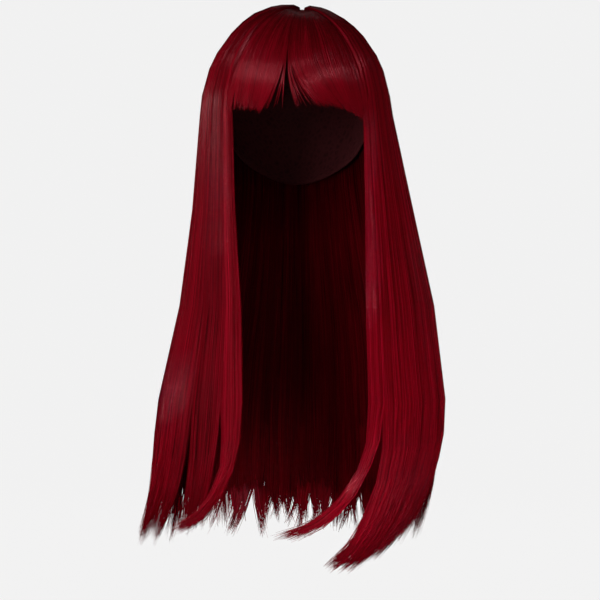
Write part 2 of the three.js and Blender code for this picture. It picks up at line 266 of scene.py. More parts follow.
# Clumps: their size, how strands mix between them, and how strongly they draw together
CLUMP = 0.026
FRINGE_CLUMP = 4.0
FRINGE_CLUMPS = 80
CLUMP_SIZES = (0.4, 1.6)
FIRST_CLUMP = 100
CLUMP_LAYERS = 3
CLUMP_NUMBERS = 123
CLUMP_MIX = 0.12
CLUMP_TABLE = 4096
HANG_PULL = 0.3
HANG_PULL_FROM = 0.3
TIP_PULL = 0.7
LONG_PULL = (0.5, 0.95)
NAPE_PULL = (0.4, 0.95)
FRINGE_PULL = (0, 0.8)

# Unevenness of long strands
CLUMP_SWEEP = 0.1
STRAND_SWEEP = 0.03
TIP_SCATTER = 2.5
LONG_REACH = 1.01
SIDEWAYS_LOSS = 0.05
RAGGED_LOSS = 0.16
RAGGED_POWER = 1.5
CLUMP_SHIFT = 0.25
WAVES = (0.4, 1.3)
LONG_WANDER = 0.0025
DEPTH_WANDER = 0.25
OUTER_DEPTH = 0.55
INNER_DEPTH = (0.2, 0.5)
EDGE_SPAN = 0.012
EDGE_DEPTH = 0.7

# Unevenness of the strands of the nape and the fringe
NAPE_REACH = 1.02
NAPE_LOSS = 0.2
NAPE_WANDER = 0.004
NAPE_SPREAD = 0.08
NAPE_HOLLOW = 0.15
FRINGE_SCATTER = 1.7
FRINGE_LOSS = 0.13
FRINGE_SWAY = 0.6
FRINGE_DEPTH = 0.09
DEPTH_SWAY = 0.02
FRINGE_UNDER = 0.15
UNDER_DEPTHS = (0.5, 1)
ROOT_SPAN = 5
FRINGE_GAPS = (2, 10)

# Stray strands: lighter, finer, and less held by their clumps
STRAY_SHARE = 0.03
STRAY_TONE = 0.4
STRAY_PULL = 0.2
STRAY_WANDER = 0.014
STRAY_MARGIN = 0.03
STRAY_LIFT = 0.6
STRAY_THICK = 0.2
STRAY_SWAY = 2.5
STRAY_FINE = 0.16

# Colours: place on the ramp, red, green and blue
HAIR_COLOURS = ((0.05, 0.02, 0.0001, 0.0006), (0.5, 0.135, 0.0006, 0.0042), (0.95, 0.29, 0.002, 0.012))
HAIR_SHINE = (1.0, 0.24, 0.3, 1)
# The net's colours: its own dark red, with painted shade in its holes, and dark all over as painted shade
# inside the wig
NET_COLOURS_AND_PAINTED_SHADE = ((0.3, 0.012, 0.003, 0.003), (1.0, 0.06, 0.012, 0.014))
SCALP_COLOURS = ((0.3, 0.05, 0.012, 0.01), (0.42, 0.46, 0.26, 0.19), (1.0, 0.66, 0.43, 0.32))
PAPER_COLOURS = ((0.0, 0.0036, 0.0036, 0.0036), (1.0, 0.0044, 0.0044, 0.0044))
# Painted shade: the under-layer's hair is darkened all over to stand for the shade inside the wig
UNDER_LAYER_PAINTED_SHADE = 0.5
# The hair darkens towards its roots: partly darker roots, partly painted shade over the crown
ROOT_DARK_AND_PAINTED_SHADE = 0.3
ROOT_LENGTH = 108.0

# How the tone of hair drifts between shades and down its length
DRIFT_APART = 3.7
DRIFT_DOWN = 8.0
DRIFT_OFFSET = 0.25
OWN_TONE = 0.5

# Net, and knots across and along the strip
NET_CELLS = 90.0
NET_LEVEL = 0.85
NET_WEAR = 0.25
KNOTS = (9.0, 150.0, 1.0)
SCALP_BLOTCH = 0.5

# Form


def lerp(a, b, t):
    return a + (b - a) * t


def smooth_read(xs, ys, at):
    """The value at a place on a smooth curve through points whose xs rise."""
    index = np.arange(len(xs))
    after = (index + 1).clip(max=index[-1])
    before = (index - 1).clip(0)
    slope = (ys[after] - ys[before]) / (xs[after] - xs[before])
    at = np.clip(at, xs[0], xs[-1])
    here = np.clip(np.searchsorted(xs, at) - 1, 0, len(xs) - 2)
    span = xs[here + 1] - xs[here]
    t = (at - xs[here]) / span
    s = 1 - t
    ends = ys[here] * s * s * (1 + 2 * t) + ys[here + 1] * t * t * (1 + 2 * s)
    return ends + slope[here] * span * t * s * s - slope[here + 1] * span * t * t * s


def read_section(name, z):
    """A measure of the long hair's outline at a height."""
    return smooth_read(-SECTION["z"], SECTION[name], -z)


def section(around, z, inset):
    """The long hair's outline at a height, moved inwards by inset.
    around is 0 behind and 1 at the front edge, and negative on the right."""
    around, z, inset = np.broadcast_arrays(around, z, inset)
    right = around < 0
    angle = np.abs(around) * np.pi
    out_x = np.where(right, read_section("right_out", z) + inset, read_section("left_out", z) - inset)
    front_x = np.where(right, read_section("right_front", z), read_section("left_front", z))
    side_y = read_section("side_y", z)
    behind = angle <= np.pi / 2
    x = np.where(behind, out_x * np.sin(angle), lerp(front_x, out_x, np.sin(angle)))
    back_depth = read_section("back_y", z) - inset - side_y
    front_depth = side_y - read_section("front_y", z) - inset
    depth = np.where(behind, back_depth, front_depth)
    return np.stack([x, side_y + depth * np.cos(angle), z], axis=-1)


def dome(root_y, gap, rim, angle, depth, notch_width):
    """A point over the crown, from a root on the parting to the rim. depth is 0 outside and 1 inside."""
    share = np.sin(angle)[..., None]
    end = rim[..., :2]
    root = np.stack(np.broadcast_arrays(PART_X, root_y, end[..., 0])[:2], axis=-1)
    way = end - root
    start = root + way / np.linalg.norm(way, axis=-1, keepdims=True) * gap[..., None]
    plan = lerp(start, end, share)
    size = lerp(DOME_HALF, HEAD_HALF + HAIR_SEAT, depth[..., None])
    brim = end / size
    brim = brim / np.linalg.norm(brim, axis=-1, keepdims=True)
    reach = (lerp(start / size, brim, share) ** 2).sum(axis=-1)
    height = lerp(HAIR_TOP_Z, HAIR_SEAT, depth) - rim[..., 2]
    away = np.linalg.norm(plan - root, axis=-1)
    notch = NOTCH_DEPTH * np.exp(-((away / notch_width) ** 2)) * (1 - depth)
    aside = (plan[..., 0] - BULGE_X) / BULGE_WIDTH
    lift = CROWN_LIFT * depth * np.sin(2 * angle)
    lift = lift + BULGE * np.exp(-(aside**2)) * np.cos(angle) ** 2
    z = rim[..., 2] + height * np.sqrt(np.maximum(1 - reach, 0)) + lift - notch
    return np.concatenate([plan, z[..., None]], axis=-1)


def crown(around, angle, inset):
    """Long hair over the crown, from the parting to the widest level."""
    rim = section(around, WIDEST_Z, inset)
    root_y = np.clip(ROOT_SHARE * section(around, WIDEST_Z, 0.0)[..., 1], PART_FRONT_Y, PART_BACK_Y)
    gap = np.full(around.shape, ROOT_GAP)
    return dome(root_y, gap, rim, angle, inset / SECTION["wall"][0], NOTCH_WIDTH)


def lock_table(rows, start, sign, tones=0.0, opening=(0.0, 0.0)):
    """The locks of a table as columns, with the middle and half width of each."""
    columns = dict(zip(LOCK_NAMES, np.array(rows, float).T))
    ends = sign * np.concatenate([[start], columns["to"]])
    columns["middle"] = (ends[1:] + ends[:-1]) / 2
    columns["half"] = np.abs(ends[1:] - ends[:-1]) / 2
    columns["shade"] = tones + np.zeros(len(rows))
    columns["open"], front = (np.zeros((len(rows), 2)) + opening).T
    columns["anchor"] = columns["middle"] + sign * front * columns["half"]
    return columns | SIDE_ENDS


def even_locks(count, end, tip_z, sweep_x):
    """Equal locks across the back, with ragged tips."""
    index = np.arange(count)
    step = 2 * end / count
    middle = -end + (index + 0.5) * step
    same = {"sweep_x": sweep_x, "sweep_y": 0.0, "turn": BACK_TURN, "tip": BACK_TIP}
    same |= {"half": step / 2, "shade": 0.0, "open": 0.0}
    columns = {name: np.full(count, value) for name, value in same.items()}
    ragged = tip_z - RAGGED * np.sin(RAGGED_STEP * index + 1)
    return columns | {"tip_z": ragged, "middle": middle, "anchor": middle} | BACK_ENDS


def pick(locks, number):
    """The columns of some locks, shaped to be used along their paths."""
    names = (*LOCK_NAMES[1:], "middle", "half", "open", "anchor")
    return {name: locks[name][number][..., None] for name in names}


def around_of(locks, number, across):
    """The place round the head or across the brow of a place across a lock."""
    return locks["middle"][number] + locks["half"][number] * across


def long_rows(lock, top_z, split_z, reach, counts):
    """Places down long hair: angles over the crown, shares of the free end, and heights."""
    over, hang, free = counts
    climb = 90 * np.linspace(0, 1, over, endpoint=False) ** CROWN_BIAS
    angle = np.concatenate([climb, np.full(hang + free, 90.0)])
    share = np.concatenate([np.zeros(over + hang), np.linspace(0, 1, free)])
    level = np.concatenate([
        np.full(over, top_z),
        np.linspace(top_z, split_z, hang, endpoint=False),
        np.full(free, split_z),
    ])
    share = reach[:, None] * share
    turn = np.radians(lock["turn"])
    z = lerp(level, lock["tip_z"], np.sin(turn * share) / np.sin(turn))
    return np.broadcast_to(np.radians(angle), share.shape), share, z


def long_points(lock, around, inset, rows, slit=0.0):
    """Points of long hair at an inset from its outside. Below the split each lock narrows and sweeps."""
    angle, share, z = rows
    turn = np.radians(lock["turn"])
    swing = (1 - np.cos(turn * share)) / (1 - np.cos(turn))
    drawn = (lock["open"] + slit) * np.minimum(1, GROWTH * share)
    place = lerp(around, lock["anchor"], drawn)
    place = lerp(place, lock["middle"], (1 - lock["tip"]) * share**3)
    sweep = np.stack([lock["sweep_x"] * swing, lock["sweep_y"] * swing, np.zeros_like(swing)], axis=-1)
    hanging = section(place, z, inset) + sweep
    over = angle < math.pi / 2 - 1e-6
    return np.where(over[..., None], crown(around, angle, inset), hanging)


def nape_inset(z, depth):
    """How far inside the long hair's outside a depth of the under-layer lies."""
    wall = smooth_read(-NAPE_WALL[:, 0], NAPE_WALL[:, 1], -z)
    return read_section("wall", z) + LAYER_GAP + depth * wall


def fringe_points(lock, place, depth, rows, root_y, gap, slit=0.0):
    """The fringe, from the front of the parting to the brow. place is X at the brow."""
    angle, share = rows
    width = 1 - (1 - lock["tip"]) * share - slit * (share > 0)
    brow_x = lerp(lock["middle"], place, width) + lock["sweep_x"] * share**2
    deep = depth * lerp(1, FRINGE_TIP_WALL, share**2)
    brow_y = -(BROW_DEPTH - FRINGE_WALL * deep) * np.sqrt(1 - (brow_x / BROW_HALF_WIDTH) ** 2)
    shape = np.ones(brow_x.shape)
    rim = np.stack([brow_x, brow_y, BROW_Z * shape], axis=-1)
    return dome(root_y * shape, gap * shape, rim, angle, deep, FRINGE_NOTCH)


def fringe_rows(lock, reach, counts):
    """Places down the fringe: angles from the parting, and shares of the free end."""
    over, free = counts
    split = math.radians(FRINGE_SPLIT)
    share = np.concatenate([np.zeros(over), np.linspace(0, 1, free)])
    share = reach[:, None] * share
    before = np.concatenate([np.linspace(0, split, over, endpoint=False), np.full(free, split)])
    tip_angle = np.arccos((lock["tip_z"] - BROW_Z) / (HAIR_TOP_Z - BROW_Z))
    return lerp(before, tip_angle, share), share


# Meshes


def new_mesh(name, points, faces):
    """A smooth mesh from points in metres and arrays of faces of any number of sides."""
    mesh = bpy.data.meshes.new(name)
    mesh.vertices.add(len(points))
    mesh.vertices.foreach_set("co", points.astype(np.float32).ravel())
    sides = np.concatenate([np.full(len(part), part.shape[1]) for part in faces])
    corners = np.concatenate([part.ravel() for part in faces])
    mesh.loops.add(len(corners))
    mesh.loops.foreach_set("vertex_index", corners.astype(np.int32))
    mesh.polygons.add(len(sides))
    mesh.polygons.foreach_set("loop_start", (np.cumsum(sides) - sides).astype(np.int32))
    mesh.update(calc_edges=True)
    mesh.shade_smooth()
    return mesh


def add_object(name, data):
    thing = bpy.data.objects.new(name, data)
    bpy.context.scene.collection.objects.link(thing)
    return thing


def make_piece(name, points, faces, uv, material, slot, normals=None):
    """A mesh piece of the wig. Each corner has a place on a strip of shades, which the material reads."""
    mesh = new_mesh(name, points * MM, faces)
    places = np.concatenate([part.reshape(-1, 2) for part in uv]).astype(np.float32)
    for layer_name in ("strand", "OFBake"):
        layer = mesh.uv_layers.new(name=layer_name)
        layer.uv.foreach_set("vector", places.ravel())
    if normals is not None:
        mesh.normals_split_custom_set(np.concatenate([part.reshape(-1, 3) for part in normals]))
    mesh.materials.append(material)
    piece = add_object(name, mesh)
    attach(piece, "root")
    return piece


def smooth_paths(paths, passes):
    """Evens out bends along paths, keeping their ends."""
    for _ in range(passes):
        inner = (paths[:, :-2] + 2 * paths[:, 1:-1] + paths[:, 2:]) / 4
        paths = np.concatenate([paths[:, :1], inner, paths[:, -1:]], axis=1)
    return paths


def unit(vectors):
    return vectors / (np.linalg.norm(vectors, axis=-1, keepdims=True) + 1e-9)


def along_hair(points, axis):
    """How far along the hair each point is, as a share of the longest hair."""
    steps = np.linalg.norm(np.diff(points, axis=axis), axis=-1)
    start = np.zeros_like(np.take(steps, [0], axis=axis))
    return ROOT_PLACE + np.concatenate([start, np.cumsum(steps, axis=axis)], axis=axis) / HAIR_LENGTH


def cell_corners(grid):
    """The four corners of each cell of a grid."""
    return grid[:-1, :-1], grid[:-1, 1:], grid[1:, 1:], grid[1:, :-1]


def strip_corners(first, second):
    """The four corners of each face between two runs of points."""
    return first[:-1], first[1:], second[1:], second[:-1]


def turned(corners):
    """Four corners in the order in which their face looks the other way."""
    a, b, c, d = corners
    return b, a, d, c


def add_faces(skin, corners, u, v):
    """Adds the faces between four runs of corners to a skin, with their places on a strip of shades."""
    faces, places = skin
    faces.append(np.stack(corners, axis=-1).reshape(-1, 4))
    spots = [np.stack(np.broadcast_arrays(*spot), axis=-1) for spot in zip(u, v)]
    places.append(np.stack(spots, axis=-2).reshape(-1, 4, 2))


def strands(name, paths, thick, outward, tone, material):
    """Closed three-sided strands that taper along paths, with a low ridge on the outward side and
    rounded normals, so that each shines like a fine cylinder."""
    count, length, _ = paths.shape
    tangent = unit(np.gradient(paths, axis=1))
    centre = np.zeros_like(paths)
    centre[..., 1] = HEAD_MIDDLE_Y
    centre[..., 2] = np.minimum(paths[..., 2], WIDEST_Z)
    away = (paths - centre) * outward[:, None, None]
    away = unit(away - (away * tangent).sum(axis=-1, keepdims=True) * tangent)
    across = np.cross(tangent, away)
    width = tapered(thick, length)[..., None]
    ring = np.stack([paths - across * width, paths + across * width, paths + away * width * RIDGE], axis=2)
    lean = rng.normal(0, STRAND_LEAN, (count, 1, 1))
    leans = (lean - STRAND_ROUND, lean + STRAND_ROUND, lean)
    round_normals = unit(np.stack([away + aside * across for aside in leans], axis=2))
    shade = np.round(np.clip(tone, 0, 1) * (SHADES - 1))
    spot = np.array([SHADE_EDGE, 1 - SHADE_EDGE, 0.5])
    u = (shade[:, None, None] + spot) / SHADES
    uv = np.stack(np.broadcast_arrays(u, along_hair(paths, 1)[..., None]), axis=-1)
    index = np.arange(count * length * 3).reshape(count, length, 3)

    def around_ring(values, sides):
        upper, lower = values[:, :-1], values[:, 1:]
        corners = [(upper[:, :, a], upper[:, :, b], lower[:, :, b], lower[:, :, a]) for a, b in sides]
        return np.stack([np.stack(corner, axis=2) for corner in corners], axis=2)

    def ends(values):
        return np.concatenate([values[:, 0, [0, 1, 2]], values[:, -1, [0, 2, 1]]])

    top = ((0, 2), (2, 1))
    under = ((1, 0),)
    below = np.repeat(-away[:, :, None], 3, axis=2)
    faces = [around_ring(index, top).reshape(-1, 4), around_ring(index, under).reshape(-1, 4), ends(index)]
    places = [around_ring(uv, top), around_ring(uv, under), ends(uv)]
    normals = [around_ring(round_normals, top), around_ring(below, under), ends(round_normals)]
    make_piece(name, ring.reshape(-1, 3), faces, places, material, "hair", normals)


def body(node, locks, row_count, split_row, span, points_of, material):
    """A panel's lock bodies as one closed wall of combed streaks, in place of its CAD node.
    span is the millimetres that a width of one stands for.
    points_of(lock number, across) gives the outer and the inner points, by row and then by streak."""
    points, skin = [], ([], [])
    base = 0
    order = np.argsort(locks["middle"])
    for rank, number in enumerate(order):
        columns = max(LEAST_STREAKS, int(round(2 * locks["half"][number] * span / STREAK)))
        outer, inner = points_of(number, np.linspace(-1, 1, columns + 1))
        along = along_hair(outer, 0).mean(axis=1)
        index = base + np.arange(2 * row_count * (columns + 1)).reshape(2, row_count, columns + 1)
        base += index.size
        points += [outer.reshape(-1, 3), inner.reshape(-1, 3)]
        # Darker shades: painted shade in the gaps between strands
        low = (rng.integers(*BODY_PAINTED_SHADE_RANGE, columns) + SHADE_EDGE) / SHADES
        high = low + (1 - 2 * SHADE_EDGE) / SHADES
        shades = (low, high, high, low)
        top, bottom = along[:-1, None], along[1:, None]
        heights = (top, top, bottom, bottom)
        add_faces(skin, cell_corners(index[0]), shades, heights)
        add_faces(skin, turned(cell_corners(index[1])), turned(shades), heights)
        for row, first in ((0, 1), (row_count - 1, 0)):
            v = along[row]
            beyond = v + END_PLACE
            corners = strip_corners(index[first, row], index[1 - first, row])
            add_faces(skin, corners, shades, (v, v, beyond, beyond))
        for column, first, outermost in ((0, 0, 0), (columns, 1, len(order) - 1)):
            start = 0 if rank == outermost else split_row
            edge = index[:, start:, column]
            upper, lower = along[start:-1], along[start + 1:]
            edge_shades = (low[0], low[0], high[0], high[0])
            corners = strip_corners(edge[first], edge[1 - first])
            add_faces(skin, corners, edge_shades, (upper, lower, lower, upper))
    piece = make_piece(f"{node}_locks", np.concatenate(points), *skin, material, "hair")
    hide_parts(node)


def ridges(place, spacing):
    """A small random depth for each streak, the same wherever two locks meet."""
    depths = np.random.default_rng(5).random(RIDGES)
    return depths[np.round(place / spacing).astype(int) % RIDGES]


# Materials


def new_material(name):
    material = bpy.data.materials.new(name)
    material.use_nodes = True
    return material, material.node_tree


def fill(tree, node, inputs):
    """Sets the inputs of a node, each to a value or by a link from a socket."""
    for name, value in inputs.items():
        if isinstance(value, bpy.types.NodeSocket):
            tree.links.new(value, node.inputs[name])
        else:
            node.inputs[name].default_value = value


def add_node(tree, kind, inputs, **settings):
    node = tree.nodes.new(f"ShaderNode{kind}")
    for name, value in settings.items():
        setattr(node, name, value)
    fill(tree, node, inputs)
    return node


def math_node(tree, operation, first, second):
    return add_node(tree, "Math", {0: first, 1: second}, operation=operation).outputs[0]


def noise(tree, vector, scale, detail):
    """A cloudy value that changes from place to place."""
    return add_node(tree, "TexNoise", {"Vector": vector, "Scale": scale, "Detail": detail}).outputs[0]


def set_ramp(tree, value, stops):
    """Colours along a value, from rows of place, red, green and blue."""
    ramp = add_node(tree, "ValToRGB", {0: value})
    elements = ramp.color_ramp.elements
    while len(elements) < len(stops):
        elements.new(0.5)
    for element, (place, *colour) in zip(elements, stops):
        element.position = place
        element.color = (*colour, 1)
    return ramp.outputs[0]


def set_surface(tree, colour, roughness, specular, more):
    inputs = {"Base Color": colour, "Roughness": roughness, "Specular IOR Level": specular}
    fill(tree, tree.nodes["Principled BSDF"], inputs | more)


def strip_place(tree):
    """The place of a point on its piece's strip of shades."""
    return add_node(tree, "UVMap", {}, uv_map="strand").outputs[0]


def hair_material(name, shade, roughness, specular):
    """Dark red hair: each strand has its own shade, which drifts along it and darkens at the root, partly
    as painted shade.
    """
    material, tree = new_material(name)
    across, along, _ = add_node(tree, "SeparateXYZ", {0: strip_place(tree)}).outputs
    number = math_node(tree, "FLOOR", math_node(tree, "MULTIPLY", across, SHADES), 0.0)
    apart = math_node(tree, "MULTIPLY", number, DRIFT_APART)
    down = math_node(tree, "MULTIPLY", along, DRIFT_DOWN)
    spot = add_node(tree, "CombineXYZ", {0: apart, 1: down}).outputs[0]
    drift = noise(tree, spot, scale=1.0, detail=2.0)
    own = math_node(tree, "MULTIPLY", number, OWN_TONE / SHADES)
    tone = math_node(tree, "ADD", own, math_node(tree, "SUBTRACT", drift, DRIFT_OFFSET))
    # Darker towards the root, partly darker roots and partly painted shade over the crown; shade scales the
    # whole colour and is below 1 where it paints the under-layer's shade
    root = add_node(tree, "MapRange", {
        "Value": along,
        "From Max": ROOT_LENGTH / HAIR_LENGTH,
        "To Min": ROOT_DARK_AND_PAINTED_SHADE * shade,
        "To Max": shade,
    }).outputs[0]
    colour = set_ramp(tree, tone, HAIR_COLOURS)
    dark_root_and_painted_shade = add_node(tree, "VectorMath", {0: colour, "Scale": root}, operation="SCALE")
    set_surface(tree, dark_root_and_painted_shade.outputs[0], roughness, specular, {"Specular Tint": HAIR_SHINE})
    return material


def net_material():
    """A dark knitted net: its own dark red, kept dark also as painted shade inside the wig, with painted
    shade in the holes between raised threads.
    """
    material, tree = new_material("cap_net")
    place = strip_place(tree)
    weave = add_node(tree, "TexVoronoi", {"Vector": place, "Scale": NET_CELLS}, feature="DISTANCE_TO_EDGE")
    worn = math_node(tree, "MULTIPLY", noise(tree, place, scale=14.0, detail=3.0), NET_WEAR)
    thread = math_node(tree, "SUBTRACT", math_node(tree, "ADD", worn, NET_LEVEL), weave.outputs["Distance"])
    relief = add_node(tree, "Bump", {"Height": thread, "Strength": 0.5, "Distance": 0.0006})
    colour = set_ramp(tree, thread, NET_COLOURS_AND_PAINTED_SHADE)
    set_surface(tree, colour, roughness=0.85, specular=0.25, more={"Normal": relief.outputs[0]})
    return material


def scalp_material():
    """Flesh-toned skin top: blotchy, finely dimpled, with a dark dot where each hair is knotted."""
    material, tree = new_material("false_scalp")
    place = strip_place(tree)
    stretch = add_node(tree, "VectorMath", {0: place, 1: KNOTS}, operation="MULTIPLY").outputs[0]
    knots = add_node(tree, "TexVoronoi", {"Vector": stretch, "Scale": 1.0})
    blotch = math_node(tree, "MULTIPLY", noise(tree, stretch, scale=0.35, detail=3.0), SCALP_BLOTCH)
    tone = math_node(tree, "ADD", blotch, knots.outputs["Distance"])
    relief = add_node(tree, "Bump", {"Height": tone, "Strength": 0.3, "Distance": 0.0003})
    colour = set_ramp(tree, tone, SCALP_COLOURS)
    set_surface(tree, colour, roughness=0.65, specular=0.3, more={"Normal": relief.outputs[0]})
    return material


hair = hair_material("hair_red", shade=1.0, roughness=0.23, specular=0.3)
# The under-layer's hair: darker all over as painted shade for the inside of the wig, and duller
painted_shade_under_hair = hair_material("hair_red_under_painted_shade", shade=UNDER_LAYER_PAINTED_SHADE, roughness=0.6, specular=0.05)
net = net_material()
scalp = scalp_material()

# Strands


def strand_field(locks, count):
    """The lock of each strand of a panel and its place across it, from -1 to 1, evenly jittered."""
    weight = locks["half"]
    edges = np.concatenate([[0.0], np.cumsum(weight / weight.sum())])
    at = (np.arange(count) + rng.random(count)) / count
    number = np.clip(np.searchsorted(edges, at, side="right") - 1, 0, len(weight) - 1)
    return number, 2 * (at - edges[number]) / (edges[number + 1] - edges[number]) - 1


def clumps(locks, number, across, size):
    """The middle of each strand's clump across its lock, and the clump's own number.
    The clumps lie in layers, so that those below fill the gaps between those above."""
    parts = np.maximum(2, np.round(2 * locks["half"][number] / size))
    layer = rng.integers(0, CLUMP_LAYERS, len(across))
    shift = layer / CLUMP_LAYERS
    index = np.floor((across + 1) / 2 * parts + shift + rng.normal(0, CLUMP_MIX, len(across))).clip(0)
    middle = 2 * (index + 0.5 - shift) / parts - 1
    return middle.clip(-1, 1), (number * CLUMP_NUMBERS + index * CLUMP_LAYERS + layer).astype(int)


def clump_random(clump, low, high, seed):
    """A random number that the strands of a clump share."""
    return np.random.default_rng(seed).uniform(low, high, CLUMP_TABLE)[clump]


def clump_tone(clump, spread):
    """A tone for each strand, near the one that its clump shares."""
    return clump_random(clump, *CLUMP_TONES, seed=3) + rng.normal(0, spread, len(clump))


def fine_tone(around):
    """Tones of streaks two or three millimetres wide."""
    streak = np.floor(around * HALF_GIRTH / FINE_STREAK).astype(int)
    return clump_random(streak, -FINE_TONE, FINE_TONE, seed=8)


def wander(count, samples, amount):
    """Slow drift of each strand, growing from its root."""
    t = np.linspace(0, 1, samples)
    waves = np.sin(2 * np.pi * (rng.uniform(*WAVES, (count, 1)) * t + rng.random((count, 1))))
    return np.reshape(amount, (-1, 1)) * rng.normal(0, 1, (count, 1)) * waves * np.minimum(1, GROWTH * t)


def tapered(thick, samples):
    """Half widths along strands, thin at the root and thinner at the tip."""
    t = np.linspace(0, 1, samples)
    root = np.minimum(1, STRAND_ROOT + GROWTH * t)
    tip = np.clip((1 - t) / STRAND_TAPER, STRAND_TIP, 1)
    return thick[:, None] * root * tip


def chosen(counts, kept):
    """Which of the dense places along a path become points of a strand."""
    ends = np.concatenate([[0], np.cumsum(counts)])
    ends[-1] -= 1
    runs = [np.linspace(a, b, n, endpoint=False) for a, b, n in zip(ends[:-1], ends[1:], kept)]
    return np.concatenate(runs + [[ends[-1]]]).round().astype(int)


def long_strands(node, locks, split_z, count, inside):
    """Strands over a long panel; inside counts those on its inner face."""
    counts = (24, 24, 24)
    samples = sum(counts)
    number, across = strand_field(locks, count)
    inner = rng.permutation(count) < inside
    stray = rng.random(count) < STRAY_SHARE
    centre, clump = clumps(locks, number, across, CLUMP)
    tone = clump_tone(clump, TONE_SPREAD) + fine_tone(around_of(locks, number, across))
    tone += locks["shade"][number] + STRAY_TONE * stray
    lock = pick(locks, number)
    lock["tip"] = np.maximum(lock["tip"], rng.uniform(*locks["loose"], (count, 1)))
    swing = 1 + clump_random(clump, -CLUMP_SWEEP, CLUMP_SWEEP, seed=7)
    swing += rng.normal(0, STRAND_SWEEP, count)
    lock["sweep_x"] *= swing[:, None]
    lock["tip_z"] += rng.normal(0, TIP_SCATTER, (count, 1))
    ragged = rng.random(count) ** RAGGED_POWER
    reach = LONG_REACH - SIDEWAYS_LOSS * np.abs(across) - RAGGED_LOSS * ragged
    reach -= clump_random(clump, 0, locks["uneven"], seed=4)
    rows = long_rows(lock, WIDEST_Z, split_z, reach, counts)
    free_share = rows[1]
    wall = read_section("wall", rows[2])
    t = np.linspace(0, 1, samples)
    hold = np.where(stray, STRAY_PULL, rng.uniform(*LONG_PULL, count))[:, None]
    pull = (HANG_PULL * np.maximum(0, t - HANG_PULL_FROM) + TIP_PULL * free_share**2) * hold
    around = lock["middle"] + lock["half"] * lerp(across[:, None], centre[:, None], pull)
    around += wander(count, samples, np.where(stray, STRAY_WANDER, LONG_WANDER))
    shift = clump_random(clump, -1, 1, seed=6)[:, None]
    around += shift * locks["uneven"] * CLUMP_SHIFT * free_share**2
    first = (locks["middle"] - locks["half"]).min()
    last = (locks["middle"] + locks["half"]).max()
    margin = STRAY_MARGIN * stray[:, None]
    around = np.clip(around, first - margin, last + margin)
    lift = np.abs(rng.normal(0, OUTER_DEPTH, count)) - STRAY_LIFT * stray
    groove = LOOK_GROOVE * (across**2)[:, None] * wall
    shallow = lift[:, None] + groove + wander(count, samples, DEPTH_WANDER)
    edge = np.minimum(np.abs(around - first), np.abs(around - last)) < EDGE_SPAN
    deep = wall - np.abs(rng.normal(*INNER_DEPTH, count))[:, None] - groove
    inset = np.where(inner[:, None], deep, shallow)
    spread = rng.random(count)[:, None] * wall * EDGE_DEPTH
    inset = np.where(edge & ~inner[:, None], np.maximum(inset, spread), inset)
    paths = smooth_paths(long_points(lock, around, inset, rows), 4)
    keep = chosen(counts, kept=(10, 3, 5))
    thick = np.where(stray, STRAY_THICK, rng.uniform(*LONG_THICK, count))
    strands(f"{node}_strands", paths[:, keep], thick, np.where(inner, -1.0, 1.0), tone, hair)


def nape_strands(count):
    """Strands on the inner face of the under-layer, which shows from the front; they take the hair with
    painted shade.
    """
    counts = (0, 22, 18)
    samples = sum(counts)
    number, across = strand_field(nape_locks, count)
    centre, clump = clumps(nape_locks, number, across, CLUMP)
    tone = clump_tone(clump, TONE_SPREAD) + fine_tone(around_of(nape_locks, number, across))
    lock = pick(nape_locks, number)
    lock["tip"] = rng.uniform(*nape_locks["loose"], (count, 1))
    ragged = rng.random(count) ** RAGGED_POWER
    reach = NAPE_REACH - NAPE_LOSS * ragged - clump_random(clump, 0, nape_locks["uneven"], seed=4)
    rows = long_rows(lock, NAPE_TOP_Z, NAPE_SPLIT_Z, reach, counts)
    t = np.linspace(0, 1, samples)
    pull = (HANG_PULL * t + TIP_PULL * rows[1] ** 2) * rng.uniform(*NAPE_PULL, count)[:, None]
    around = lock["middle"] + lock["half"] * lerp(across[:, None], centre[:, None], pull)
    around += wander(count, samples, NAPE_WANDER)
    raised = np.abs(rng.normal(0, NAPE_SPREAD, count))[:, None]
    depth = 1 - raised - NAPE_HOLLOW * (across**2)[:, None]
    paths = smooth_paths(long_points(lock, around, nape_inset(rows[2], depth), rows), 3)
    keep = chosen(counts[1:], kept=(5, 6))
    thick = rng.uniform(*NAPE_THICK, count)
    strands("nape_hair_strands", paths[:, keep], thick, np.full(count, -1.0), tone, painted_shade_under_hair)


def fan_places(count):
    """Places along the brow as dense as the fan says and then those of the wisps, and their sweeps."""
    fine = np.linspace(FAN[0, 0], FAN[-1, 0], num=2000)
    total = np.cumsum(np.interp(fine, FAN[:, 0], FAN[:, 3]))
    place = np.interp((np.arange(count) + rng.random(count)) / count, total / total[-1], fine)
    spans = rng.uniform(*CLUMP_SIZES, FRINGE_CLUMPS)
    edges = np.cumsum(spans) * FRINGE_CLUMP + FAN[0, 0] - FRINGE_CLUMP
    after = np.searchsorted(edges, place).clip(1)
    centre = (edges[after] + edges[after - 1]) / 2
    gathered = lerp(place, centre, rng.uniform(*FRINGE_PULL, count))
    sweep = np.interp(gathered, FAN[:, 0], FAN[:, 1]) + gathered - place
    wisp = np.repeat(np.arange(len(WISPS)), WISPS[:, 2].astype(int))
    tip = WISPS[wisp, 0] + WISPS[wisp, 1] * rng.uniform(-1, 1, len(wisp))
    left, right = FAN[FAN[:, 3] == 0, :2]
    share = (tip - left.sum()) / (right.sum() - left.sum())
    start = lerp(left[0], right[0], share)
    return np.concatenate([place, start]), np.concatenate([sweep, tip - start])


